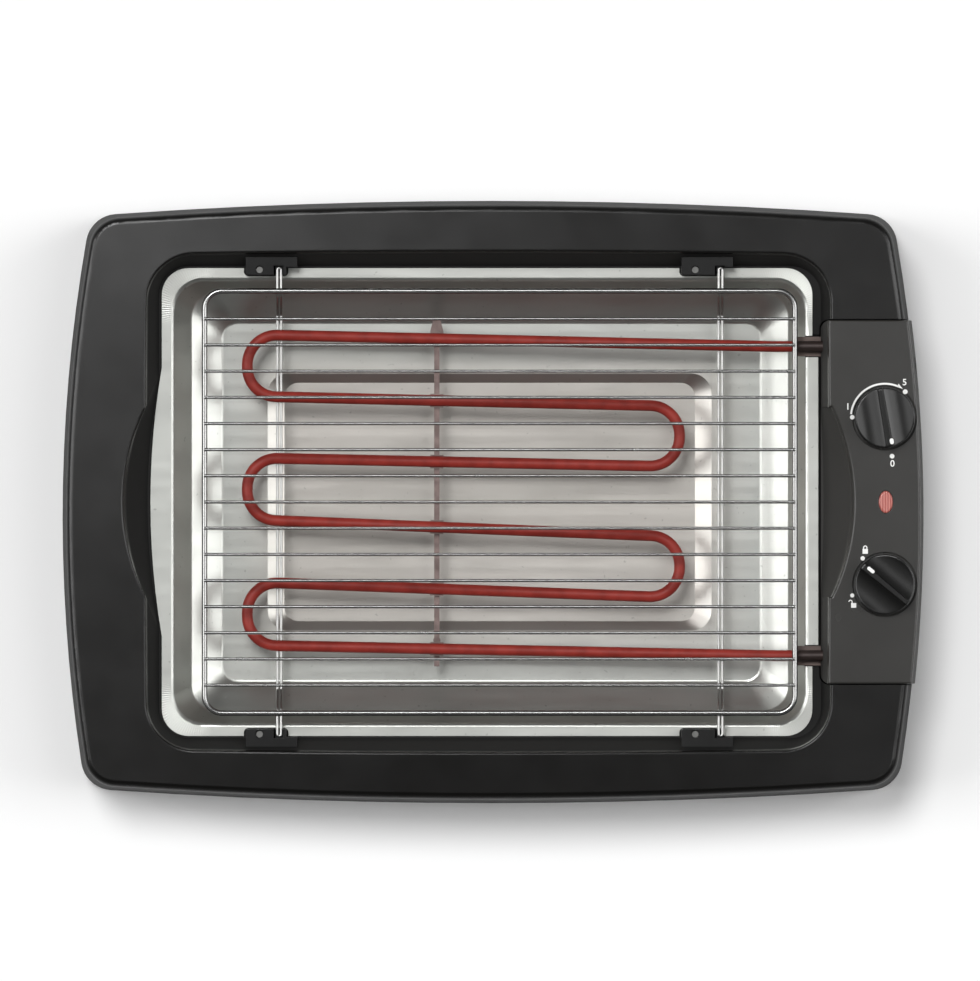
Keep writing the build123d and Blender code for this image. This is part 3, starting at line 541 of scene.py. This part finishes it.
def heat_scale(ink):
    """Arc with an arrowhead from the lowest to the highest setting."""
    quads = band_on_panel(KNOB_X, THERMOSTAT_Y, ARC_RADIUS, ARC_WIDTH, ARC_START, ARC_END, ARC_STEPS)
    tip = around(KNOB_X, THERMOSTAT_Y, ARC_RADIUS, ARROW_TIP)
    outer = around(KNOB_X, THERMOSTAT_Y, ARC_RADIUS + ARROW_OUTWARD, ARROW_BASE)
    inner = around(KNOB_X, THERMOSTAT_Y, ARC_RADIUS - ARROW_INWARD, ARROW_BASE)
    printed("heat_arc", quads + [on_panel((tip, outer, inner))], "control_unit", ink)


def figure(name, text, x, y, ink):
    """Figure laid on the crowned panel."""
    curve = bpy.data.curves.new(name + "_text", "FONT")
    curve.body = text
    curve.size = FIGURE_HEIGHT / FIGURE_SHARE_OF_FONT
    curve.align_x = "CENTER"
    curve.align_y = "CENTER"
    curve.offset = FIGURE_HEIGHT * FIGURE_BOLDNESS
    source = bpy.data.objects.new(name + "_text", curve)
    scene.collection.objects.link(source)
    bpy.context.view_layer.update()
    evaluated = source.evaluated_get(bpy.context.evaluated_depsgraph_get())
    mesh = bpy.data.meshes.new_from_object(evaluated)
    bpy.data.objects.remove(source)
    for vertex in mesh.vertices:
        vertex.co = panel_point(x + vertex.co.x, y + vertex.co.y)
    add_marking(name, mesh, "control_unit", ink)


def padlock(name, x, y, size, is_open, ink):
    """Generic padlock pictogram: a block under a hoop, which stands beside it when open."""
    half = size * PADLOCK_BLOCK_HALF_WIDTH
    low, high = y - size * PADLOCK_BLOCK_BOTTOM, y + size * PADLOCK_BLOCK_TOP
    block = [(x - half, low), (x + half, low), (x + half, high), (x - half, high)]
    hoop_radius, wire = size * PADLOCK_HOOP_RADIUS, size * PADLOCK_HOOP_WIRE
    hoop_x = x - hoop_radius * 2 if is_open else x
    hoop_y = high + size * PADLOCK_LEG_HEIGHT
    shapes = [on_panel(block)]
    shapes += band_on_panel(hoop_x, hoop_y, hoop_radius, wire, 180, 0, PADLOCK_HOOP_STEPS)
    legs = (hoop_x + hoop_radius,) if is_open else (hoop_x - hoop_radius, hoop_x + hoop_radius)
    for leg_x in legs:
        left, right = leg_x - wire / 2, leg_x + wire / 2
        shapes.append(on_panel([(left, high), (right, high), (right, hoop_y), (left, hoop_y)]))
    printed(name, shapes, "control_unit", ink)


def pointer(name, knob_y, rest_degrees, place, size, body, ink):
    """Rounded white bar on a knob's raised pad. Place and size are along and across the blade."""
    length, width = size
    turn = Matrix.Rotation(math.radians(rest_degrees), 3, "Z")
    top = (KNOB_TOP_Z + KNOB_INK_LIFT) * MM
    points = []
    for side, first in ((1, -90), (-1, 90)):
        for step in range(POINTER_STEPS + 1):
            angle = first + 180 * step / POINTER_STEPS
            along, across = around(side * (length - width) / 2, 0, width / 2, angle)
            spot = turn @ Vector((place[0] + along, place[1] + across, 0))
            points.append(((KNOB_X + SHIFT_X + spot.x) * MM, (knob_y + spot.y) * MM, top))
    printed(name, [points], body, ink)


def print_markings(ink):
    for name, (x, y, diameter) in HEAT_DOTS.items():
        dot(name, x, y, diameter, ink)
    heat_scale(ink)
    for name, (text, x, y) in FIGURES.items():
        figure(name, text, x, y, ink)
    for name, (x, y, diameter) in LOCK_DOTS.items():
        dot(name, x, y, diameter, ink)
    padlock("sign_locked", 236.2, -30.2, size=5.0, is_open=False, ink=ink)
    padlock("sign_unlocked", 228.9, -64.4, size=4.8, is_open=True, ink=ink)
    pointer("thermostat_pointer", THERMOSTAT_Y, rest_degrees=-80.5, place=(15.4, 1.7), size=(3.8, 2.5),
            body="thermostat_control", ink=ink)
    pointer("lock_pointer", LOCK_Y, rest_degrees=140.5, place=(12.7, -1.3), size=(5.4, 2.2),
            body="lock_control", ink=ink)


# Studio

def studio_floor():
    corners = [(-FLOOR_HALF, -FLOOR_HALF, 0), (FLOOR_HALF, -FLOOR_HALF, 0),
               (FLOOR_HALF, FLOOR_HALF, 0), (-FLOOR_HALF, FLOOR_HALF, 0)]
    mesh = bpy.data.meshes.new("studio_floor")
    mesh.from_pydata(corners, [], [(0, 1, 2, 3)])
    paint = new_material("studio_floor", FLOOR_COLOR, metallic=0.0, roughness=0.9, specular=0.0)
    mesh.materials.append(paint)
    floor = bpy.data.objects.new("studio_floor", mesh)
    scene.collection.objects.link(floor)


def far_light(name, azimuth, elevation, apparent_size, strength):
    """Wide soft light far away, so that the floor is lit evenly."""
    light = bpy.data.lights.new(name, "SUN")
    light.angle = math.radians(apparent_size)
    light.energy = strength
    turn, rise = math.radians(azimuth), math.radians(elevation)
    place = Vector((math.cos(turn) * math.cos(rise), math.sin(turn) * math.cos(rise), math.sin(rise)))
    lamp = bpy.data.objects.new(name, light)
    lamp.location = place
    lamp.rotation_euler = (-place).to_track_quat("-Z", "Y").to_euler()
    scene.collection.objects.link(lamp)


def studio_world():
    """Surroundings that are dark above and paler towards the horizon."""
    world = bpy.data.worlds.new("studio")
    world.use_nodes = True
    background = world.node_tree.nodes["Background"]
    background.inputs["Color"].default_value = (1.0, 1.0, 1.0, 1.0)
    source = world.node_tree.nodes.new("ShaderNodeTexCoord")
    height = node(world, "ShaderNodeSeparateXYZ", Vector=source.outputs["Generated"]).outputs["Z"]
    fade = node(world, "ShaderNodeMapRange", Value=height, From_Min=WORLD_WALL_TOP,
                From_Max=WORLD_CEILING, To_Min=WORLD_WALLS, To_Max=WORLD_OVERHEAD)
    world.node_tree.links.new(fade.outputs["Result"], background.inputs["Strength"])
    scene.world = world


def overhead_camera():
    """Camera straight above, with a lens so long that the base's walls hardly show."""
    data = bpy.data.cameras.new("camera")
    data.sensor_width = SENSOR_WIDTH
    data.lens = SENSOR_WIDTH * CAMERA_PLACE[2] / VIEW_WIDTH
    data.clip_end = CAMERA_REACH
    camera = bpy.data.objects.new("camera", data)
    camera.location = CAMERA_PLACE
    scene.collection.objects.link(camera)
    scene.camera = camera


dress_nodes(make_materials())
print_markings(ink_white())
studio_floor()
studio_world()
for lamp_name, settings in LAMPS.items():
    far_light(lamp_name, *settings)
overhead_camera()
scene.view_settings.view_transform = "Standard"
